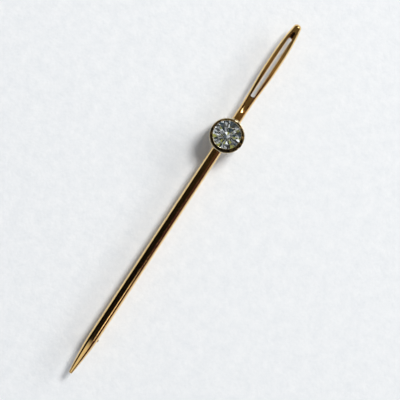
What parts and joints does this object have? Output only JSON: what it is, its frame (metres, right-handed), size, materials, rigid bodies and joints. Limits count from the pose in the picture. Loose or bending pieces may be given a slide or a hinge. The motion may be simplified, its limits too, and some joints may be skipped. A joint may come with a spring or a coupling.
{
  "type": "needle-shaped tie pin",
  "caption": "Gold tie pin made like a sewing needle with an open eye, a rub-over set brilliant, a hinged pin stem and a turning safety catch behind.",
  "frame": {"origin": "under the middle of the needle's length, on the plane that the knuckles of the joint rest on", "axes": "+X along the needle towards its head, +Y across it, +Z out of the stone's table"},
  "size_m": [0.055, 0.0046, 0.0052],
  "materials": {
    "yellow_gold": "polished",
    "pale_gold": "bright polished rim",
    "hard_gold": "drawn wire, lightly polished",
    "stone": "faceted and polished"
  },
  "bodies": {
    "bar": {"eye_bar": "yellow_gold", "shaft": "yellow_gold", "collet_wall": "pale_gold", "seat_ring": "yellow_gold", "back_ring": "yellow_gold", "diamond": "stone", "joint_plate": "yellow_gold", "knuckle_left": "yellow_gold", "knuckle_right": "yellow_gold", "joint_rivet": "hard_gold", "catch_foot": "yellow_gold", "catch_barrel": "yellow_gold"},
    "stem": {"stem_knuckle": "hard_gold", "pin_stem": "hard_gold"},
    "rotor": {"catch_rotor": "hard_gold", "catch_lever": "hard_gold"}
  },
  "joints": [
    {"name": "stem_swing", "type": "hinge", "parent": "bar", "child": "stem", "pos_m": [0.0067, 0, 0.00065], "axis": [0, -1, 0], "range_deg": [0, 80]},
    {"name": "catch_turn", "type": "hinge", "parent": "bar", "child": "rotor", "pos_m": [-0.0222, 0, 0.00065], "axis": [-1, 0, 0], "range_deg": [0, 80]}
  ]
}
